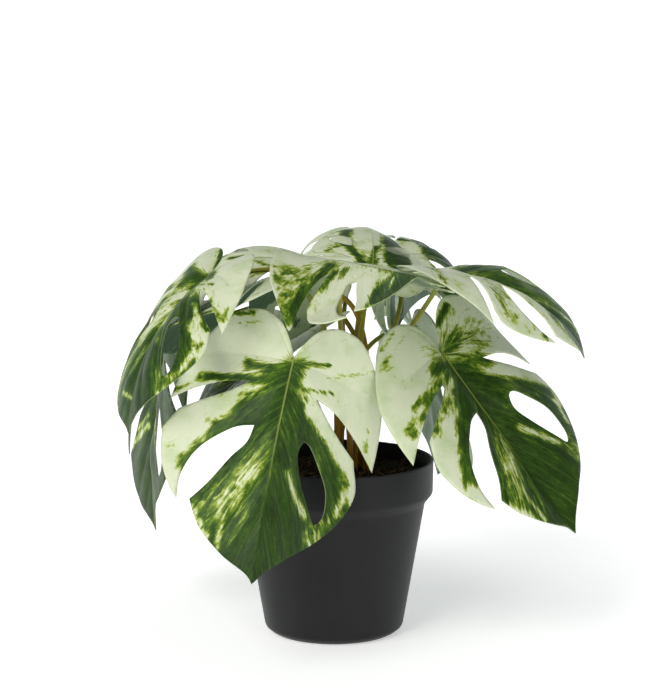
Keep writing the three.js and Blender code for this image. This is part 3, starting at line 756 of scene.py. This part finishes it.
class Wiring:
    """Short calls to place and join the nodes of one tree, and to feed its last node."""

    def __init__(self, tree, last):
        self.tree = tree
        self.last = last

    def join(self, values, sockets):
        """Links each value to its socket, or sets it there if it is a number, a colour or its code."""
        for name, value in values.items():
            if isinstance(value, bpy.types.NodeSocket):
                self.tree.links.new(value, sockets[name])
            else:
                sockets[name].default_value = linear(value) if isinstance(value, str) else value

    def feed(self, **values):
        """Joins values to the last node's sockets of the same names."""
        self.join({name.replace("_", " "): value for name, value in values.items()}, self.last.inputs)

    def node(self, kind, inputs=None, **facts):
        """The outputs of a new node."""
        made = self.tree.nodes.new(kind)
        for name, value in facts.items():
            setattr(made, name, value)
        self.join(inputs or {}, made.inputs)
        return made.outputs

    def shared(self, name, inputs=None):
        """The outputs of a shared group, which is built when it is first placed."""
        tree = bpy.data.node_groups.get(name) or GROUPS[name]()
        return self.node("ShaderNodeGroup", inputs, node_tree=tree)

    def math(self, operation, first, second=0.0, clamp=False):
        return self.node("ShaderNodeMath", {0: first, 1: second}, operation=operation, use_clamp=clamp)[0]

    def plus(self, first, second):
        return self.math("ADD", first, second)

    def minus(self, first, second):
        return self.math("SUBTRACT", first, second)

    def times(self, first, second):
        return self.math("MULTIPLY", first, second)

    def swing(self, noise, height):
        """Noise made to swing about zero."""
        return self.times(self.minus(noise, 0.5), height)

    def vector(self, operation, first, second):
        return self.node("ShaderNodeVectorMath", {0: first, 1: second}, operation=operation)[0]

    def parts(self, vector):
        return self.node("ShaderNodeSeparateXYZ", {"Vector": vector})

    def step(self, value, start, end, low=0.0, high=1.0, kind="SMOOTHSTEP"):
        """A smooth way from low at the start to high at the end."""
        inputs = {"Value": value, "From Min": start, "From Max": end, "To Min": low, "To Max": high}
        return self.node("ShaderNodeMapRange", inputs, interpolation_type=kind)[0]

    def spread(self, value, low, high, start=0.0, end=1.0):
        """A straight way from low at the start to high at the end."""
        return self.step(value, start, end, low, high, "LINEAR")

    def noise(self, place, scale=1.0, detail=3.0, roughness=0.55, distortion=0.0):
        inputs = {"Vector": place, "Scale": scale, "Detail": detail, "Distortion": distortion}
        return self.node("ShaderNodeTexNoise", {**inputs, "Roughness": roughness})[0]

    def mix(self, factor, first, second):
        """The first colour, covered by the second as far as the factor says."""
        return self.node("ShaderNodeMix", {"Factor": factor, 6: first, 7: second}, data_type="RGBA")[2]

    def ramp(self, factor, stops):
        """A colour read off a scale of places and colour codes."""
        colour = self.node("ShaderNodeValToRGB", {"Fac": factor})[0]
        scale = colour.node.color_ramp
        while len(scale.elements) < len(stops):
            scale.elements.new(0.5)
        for element, (place, code) in zip(scale.elements, stops):
            element.position = place
            element.color = linear(code)
        return colour

    def bump(self, height, strength, distance):
        inputs = {"Height": height, "Strength": strength, "Distance": distance}
        return self.node("ShaderNodeBump", inputs)[0]


def new_group(name, inputs, outputs):
    """The wiring of a new shader group and the sockets of its inputs."""
    group = bpy.data.node_groups.new(name, "ShaderNodeTree")
    for label, default in inputs.items():
        socket = group.interface.new_socket(label, in_out="INPUT", socket_type="NodeSocketFloat")
        socket.default_value = default
    for label, kind in outputs.items():
        group.interface.new_socket(label, in_out="OUTPUT", socket_type=f"NodeSocket{kind}")
    given = group.nodes.new("NodeGroupInput")
    return Wiring(group, group.nodes.new("NodeGroupOutput")), given.outputs


def marbling_group():
    """Marbled colours of a blade: streaks along the veins over the painted tone."""
    outputs = {"Face Color": "Color", "Back Color": "Color", "Vein Height": "Float", "Roughness": "Float"}
    wires, given = new_group("leaf_marbling", {"Vein Strength": 0.1}, outputs)
    veins = wires.node("ShaderNodeUVMap", uv_map="veins")[0]
    flat = wires.node("ShaderNodeUVMap", uv_map="flat")[0]
    across, along, _ = wires.parts(flat)
    out, root, _ = wires.parts(veins)
    tone = wires.node("ShaderNodeAttribute", attribute_name="tone")["Fac"]
    seed = wires.node("ShaderNodeAttribute", attribute_name="seed")["Fac"]

    # Each leaf and each half reads the noises at its own depth.
    depth = wires.plus(seed, wires.times(wires.math("SIGN", across), 3.0))
    shift = wires.node("ShaderNodeCombineXYZ", {"Z": depth})[0]
    streak_place = wires.vector("ADD", wires.vector("MULTIPLY", veins, (9.0, 38.0, 1.0)), shift)
    fine_place = wires.vector("ADD", wires.vector("MULTIPLY", veins, (26.0, 130.0, 1.0)), shift)
    blade_place = wires.vector("ADD", flat, shift)
    streak = wires.noise(streak_place, detail=4.0, roughness=0.62, distortion=0.9)
    fine = wires.noise(fine_place, roughness=0.6)
    patch = wires.noise(blade_place, scale=7.0)
    speckle = wires.noise(blade_place, scale=60.0, detail=2.0, roughness=0.6)
    ragged = wires.swing(streak, 2.6)
    for noise, height in ((fine, 0.9), (patch, 1.6), (speckle, 0.55)):
        ragged = wires.plus(ragged, wires.swing(noise, height))
    ragged = wires.times(ragged, wires.spread(tone, 1.0, 0.6, start=0.3, end=0.75))
    level = wires.math("ADD", wires.times(wires.plus(tone, ragged), 0.5), 0.5, clamp=True)
    cover = wires.step(level, 0.28, 0.47)

    # The midrib and the lateral veins, thinner towards their ends.
    reach = wires.math("ABSOLUTE", across)
    rib = wires.times(wires.step(reach, 0.007, 0.0025), wires.step(along, 0.72, 0.2))
    turn = wires.math("DIVIDE", wires.minus(root, VEIN_OFFSET), VEIN_SPACING)
    offset = wires.math("ABSOLUTE", wires.minus(turn, wires.math("ROUND", turn)))
    lateral = wires.times(wires.step(offset, 0.05, 0.012), wires.step(out, 0.6, 0.2))
    line = wires.math("MAXIMUM", rib, wires.times(lateral, given["Vein Strength"]))

    pale = wires.mix(wires.times(wires.step(patch, 0.42, 0.75), 0.8), PALE, PALE_GREEN)
    pale = wires.mix(wires.times(wires.step(fine, 0.5, 0.8), 0.5), pale, PALE_STREAK)
    face = wires.mix(cover, pale, wires.ramp(level, GREENS))
    # The underside: the same marbling in greyer, darker colours, with painted shade as well as its own
    # duller tone.
    back = wires.mix(wires.step(patch, 0.4, 0.6), SHADED_BACK_PALE, SHADED_BACK_GREY)
    back = wires.mix(wires.times(cover, 0.85), back, SHADED_BACK_DARK)
    wires.feed(
        Face_Color=wires.mix(wires.times(line, 0.75), face, RIB),
        Back_Color=wires.mix(wires.times(line, 0.6), back, BACK_RIB),
        Vein_Height=wires.minus(wires.times(fine, 0.15), wires.math("MAXIMUM", rib, lateral)),
        Roughness=wires.spread(wires.plus(patch, fine), 0.28, 0.5, end=2.0),
    )
    return wires.tree


def grain_group():
    """Fine grain and broad unevenness for moulded and grown surfaces."""
    outputs = {"Grain": "Float", "Patch": "Float"}
    wires, given = new_group("surface_grain", {"Fineness": 900.0, "Patch Size": 20.0}, outputs)
    place = wires.node("ShaderNodeTexCoord")["Object"]
    wires.feed(
        Grain=wires.noise(place, given["Fineness"], roughness=0.5),
        Patch=wires.noise(place, given["Patch Size"], detail=4.0, roughness=0.5),
    )
    return wires.tree


GROUPS = {"leaf_marbling": marbling_group, "surface_grain": grain_group}


# Materials


def new_material(name, **constants):
    """A material with its shader's constants set on the shader's own sockets, and its wiring."""
    material = bpy.data.materials.new(name)
    material.use_nodes = True
    wires = Wiring(material.node_tree, material.node_tree.nodes["Principled BSDF"])
    wires.feed(**constants)
    return material, wires


def blade_materials():
    """Upper face, underside and cut edge of a blade."""
    made = []
    for name, colour, lift in (("blade_face", "Face Color", 0.5), ("blade_back", "Back Color", 0.9)):
        material, wires = new_material(name, Specular_IOR_Level=0.13)
        marbling = wires.shared("leaf_marbling")
        bump = wires.bump(marbling["Vein Height"], lift, 0.25 * MM)
        wires.feed(Base_Color=marbling[colour], Roughness=marbling["Roughness"], Normal=bump)
        made.append(material)
    material, wires = new_material("blade_edge", Roughness=0.5, Specular_IOR_Level=0.2)
    cut = wires.mix(wires.shared("surface_grain")["Patch"], CUT_PALE, CUT_GREEN)
    wires.feed(Base_Color=wires.mix(0.3, wires.shared("leaf_marbling")["Face Color"], cut))
    return [*made, material]


def stalk_material():
    """Brown at the foot and green under the blade, with fibres along it."""
    material, wires = new_material("stalk", Specular_IOR_Level=0.3)
    patch = wires.shared("surface_grain", {"Patch Size": 45.0})["Patch"]
    along = wires.node("ShaderNodeUVMap", uv_map="along")[0]
    fibre = wires.noise(wires.vector("MULTIPLY", along, (5.0, 9.0, 1.0)), detail=4.0, roughness=0.6)
    colour = wires.ramp(wires.plus(wires.parts(along)[0], wires.swing(fibre, 0.9)), STALK_COLOURS)
    wires.feed(
        Base_Color=wires.mix(wires.step(patch, 0.55, 0.75), colour, STALK_PATCH),
        Roughness=wires.spread(fibre, 0.3, 0.6),
        Normal=wires.bump(fibre, 0.4, 0.3 * MM),
    )
    return material


def soil_material(name, colours):
    """Rough and crumbly, from the darker to the lighter colour."""
    material, wires = new_material(name, Specular_IOR_Level=0.25)
    grain = wires.shared("surface_grain", {"Fineness": 1100.0, "Patch Size": 160.0})
    level = wires.times(wires.plus(grain["Grain"], grain["Patch"]), 0.5)
    wires.feed(
        Base_Color=wires.mix(wires.step(level, 0.4, 0.65), *colours),
        Roughness=wires.spread(level, 0.8, 1.0),
        Normal=wires.bump(grain["Grain"], 0.9, 0.6 * MM),
    )
    return material


def pot_material(colour):
    """Matt plastic with a fine grain and faint scuffs around it."""
    material, wires = new_material("pot", Specular_IOR_Level=0.2, Sheen_Weight=0.12, Sheen_Roughness=0.35)
    grain = wires.shared("surface_grain", {"Fineness": 1600.0, "Patch Size": 24.0})
    lighter = [1.35 * c for c in colour]
    shade = wires.mix(wires.step(grain["Patch"], 0.35, 0.7), (*colour, 1), (*lighter, 1))
    place = wires.node("ShaderNodeTexCoord")["Object"]
    scuffs = wires.noise(wires.vector("MULTIPLY", place, (60.0, 60.0, 900.0)), roughness=0.7)
    wires.feed(
        Base_Color=wires.mix(wires.times(wires.step(scuffs, 0.68, 0.8), 0.12), shade, SCUFF),
        Roughness=wires.spread(grain["Patch"], 0.42, 0.68),
        Normal=wires.bump(grain["Grain"], 0.35, 0.12 * MM),
    )
    return material


def floor_material(glow):
    """A pale floor that gives off some light, less of it around the pot."""
    material, wires = new_material("floor", Roughness=0.6, Specular_IOR_Level=0.2, Emission_Strength=glow)
    place = wires.node("ShaderNodeTexCoord")["Object"]
    out = wires.node("ShaderNodeVectorMath", {0: place}, operation="LENGTH")["Value"]
    wires.feed(
        Base_Color=wires.mix(wires.noise(place, scale=300.0), *FLOOR_COLOURS),
        Emission_Color=wires.mix(wires.step(out, 0.1, 0.26), *FLOOR_GLOW),
    )
    return material


# Stage


def studio_world(settings):
    """A dome that is brighter along its foot at the sides and the back."""
    world = bpy.data.worlds.new("studio")
    world.use_nodes = True
    wires = Wiring(world.node_tree, world.node_tree.nodes["Background"])
    _, back, up = wires.parts(wires.node("ShaderNodeTexCoord")["Generated"])
    foot = wires.times(wires.step(back, -0.4, 0.1), wires.step(up, 0.45, 0.05))
    wires.feed(Color=SKY, Strength=wires.spread(foot, settings.dome, settings.horizon))
    return world


def add_lamp(name, kind, place, power, **facts):
    """A lamp of the scene, turned towards the plant."""
    lamp = bpy.data.lights.new(name, kind)
    lamp.energy = power
    lamp.color = LAMP_COLOUR
    for key, value in facts.items():
        setattr(lamp, key, value)
    light = bpy.data.objects.new(name, lamp)
    light.location = place
    light.rotation_euler = (LAMP_TARGET - Vector(place)).to_track_quat("-Z", "Y").to_euler()
    bpy.context.scene.collection.objects.link(light)


def add_camera(scene, settings):
    """The scene's camera, which looks a little down on the plant."""
    lens = bpy.data.cameras.new("camera")
    lens.lens = settings.lens
    lens.sensor_width = 36
    camera = bpy.data.objects.new("camera", lens)
    camera.location = (CAMERA_SIDE, -settings.distance, settings.height)
    camera.rotation_euler = (pi / 2 - settings.pitch, 0, 0)
    scene.collection.objects.link(camera)
    scene.camera = camera


# Operators


class MONSTERA_OT_pot(Operator):
    """Turns the pot"""

    bl_idname = "monstera.pot"
    bl_label = "Pot"

    def execute(self, context):
        settings = context.scene.monstera_pot
        vertices, faces = lathe([np.array(p) * MM for p in pot_profile()], settings.segments)
        pot = make_object("moulded_pot", vertices, faces, [pot_material(settings.colour)])
        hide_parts("pot")
        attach(pot, "root")
        return {"FINISHED"}


class MONSTERA_OT_soil(Operator):
    """Fills the pot with soil, crumbs and fibres"""

    bl_idname = "monstera.soil"
    bl_label = "Soil"

    def execute(self, context):
        settings = context.scene.monstera_soil
        draw = np.random.default_rng(SCATTER_SEED)
        # The ground's near-black colours hold painted shade as well as the soil's own dark tone.
        ground = soil_ground(settings, soil_material("soil", SHADED_SOIL_COLOURS))
        crumbs = soil_crumbs(settings, draw, soil_material("soil_crumb", CRUMB_COLOURS))
        fibres = soil_fibres(settings, draw, soil_material("soil_fibre", FIBRE_COLOURS))
        for piece in (crumbs, fibres, ground):
            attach(piece, "root")
        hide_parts("soil")
        return {"FINISHED"}


class MONSTERA_OT_stalks(Operator):
    """Grows the stalks from the soil to the blades"""

    bl_idname = "monstera.stalks"
    bl_label = "Stalks"

    def execute(self, context):
        settings = context.scene.monstera_stalks
        material = stalk_material()
        around = np.arange(STALK_SIDES) / STALK_SIDES * 2
        for leaf in LEAVES:
            path = stalk_path(leaf)
            lengths = np.concatenate([[0], np.cumsum(np.linalg.norm(np.diff(path, axis=0), axis=1))])
            share = lengths / lengths[-1]
            radii = settings.radius * (FOOT_SHARE - TAPER * share)
            radii += settings.knee * np.exp(-(((share - KNEE_PLACE) / KNEE_WIDTH) ** 2))
            radii[-1] = settings.point
            vertices, faces = sweep(path, radii, STALK_SIDES)
            stalk = make_object(f"stem_{leaf.name}", vertices, faces, [material])
            turn = np.tile(np.minimum(around, 2 - around), len(path))
            add_uv(stalk.data, "along", np.stack([np.repeat(share, STALK_SIDES), turn], axis=1))
            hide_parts(f"stalk_{leaf.name}")
            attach(stalk, "root")
        return {"FINISHED"}


class MONSTERA_OT_blades(Operator):
    """Cuts, bends and marbles the blades"""

    bl_idname = "monstera.blades"
    bl_label = "Blades"

    def execute(self, context):
        settings = context.scene.monstera_blades
        materials = blade_materials()
        draw = np.random.default_rng(settings.seed)
        longest = max(leaf.length for leaf in LEAVES)
        for leaf in LEAVES:
            flat, triangles = flat_blade(leaf, settings.spacing)
            matrix = leaf_matrix(leaf)
            surface = placed(matrix, bent(leaf, flat))
            normals = vertex_normals(surface, triangles)
            if (normals @ matrix[:3, 2]).mean() < 0:
                triangles = triangles[:, ::-1]
                normals = -normals
            veins = vein_coordinates(flat)
            phase = draw.uniform(0, 2 * pi)
            share = (leaf.length - FLAT_LENGTH) / (longest - FLAT_LENGTH)
            surface = surface + share * normals * relief(flat, veins, settings, phase)[:, None]
            blade = make_object(f"marbled_{leaf.name}", surface, triangles, materials)
            add_uv(blade.data, "flat", flat)
            add_uv(blade.data, "veins", veins)
            tone = painted_tone(flat, PRINT + EXTRA.get(leaf.name, []))
            add_attribute(blade.data, "tone", tone + draw.uniform(-TONE_CHANGE, TONE_CHANGE))
            add_attribute(blade.data, "seed", np.full(len(flat), draw.uniform(0, NOISE_DEPTH)))
            shell = blade.modifiers.new("thickness", "SOLIDIFY")
            shell.thickness = settings.thickness
            shell.offset = 0
            shell.material_offset = 1
            shell.material_offset_rim = 2
            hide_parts(f"blade_{leaf.name}")
            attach(blade, "root")
        return {"FINISHED"}


class MONSTERA_OT_stage(Operator):
    """Sets up the floor, the lights and the camera"""

    bl_idname = "monstera.stage"
    bl_label = "Stage"

    def execute(self, context):
        settings = context.scene.monstera_stage
        scene = context.scene
        scene.view_settings.view_transform = "Standard"
        corners = [(x * FLOOR_REACH, y * FLOOR_REACH, 0) for x, y in ((-1, -1), (1, -1), (1, 1), (-1, 1))]
        floor = make_object("floor", corners, [(0, 1, 2, 3)], [floor_material(settings.glow)], smooth=False)
        scene.world = studio_world(settings)
        add_lamp("key", "SUN", KEY_PLACE, settings.key, angle=settings.spread)
        add_lamp("front", "AREA", FRONT_PLACE, settings.fill, shape="DISK", size=FRONT_SIZE)
        add_camera(scene, settings)
        return {"FINISHED"}


class MONSTERA_PT_panel(Panel):
    """Lists the pieces and their sizes"""

    bl_idname = "MONSTERA_PT_panel"
    bl_label = "Potted marble monstera"
    bl_space_type = "VIEW_3D"
    bl_region_type = "UI"
    bl_category = "Monstera"

    def draw(self, context):
        for name in SETTINGS:
            box = self.layout.box()
            box.operator(f"monstera.{name}")
            settings = getattr(context.scene, f"monstera_{name}")
            for key in settings.bl_rna.properties.keys():
                if key not in ("name", "rna_type"):
                    box.prop(settings, key)


SETTINGS = {
    "pot": MonsteraPotSettings,
    "soil": MonsteraSoilSettings,
    "stalks": MonsteraStalkSettings,
    "blades": MonsteraBladeSettings,
    "stage": MonsteraStageSettings,
}
OPERATORS = (MONSTERA_OT_pot, MONSTERA_OT_soil, MONSTERA_OT_stalks, MONSTERA_OT_blades, MONSTERA_OT_stage)
CLASSES = (*SETTINGS.values(), *OPERATORS, MONSTERA_PT_panel)


def register():
    for part in CLASSES:
        bpy.utils.register_class(part)
    for name, group in SETTINGS.items():
        setattr(bpy.types.Scene, f"monstera_{name}", PointerProperty(type=group))


def unregister():
    for name in SETTINGS:
        delattr(bpy.types.Scene, f"monstera_{name}")
    for part in reversed(CLASSES):
        bpy.utils.unregister_class(part)


def main():
    register()
    for name in SETTINGS:
        getattr(bpy.ops.monstera, name)()


if __name__ == "__main__":
    main()
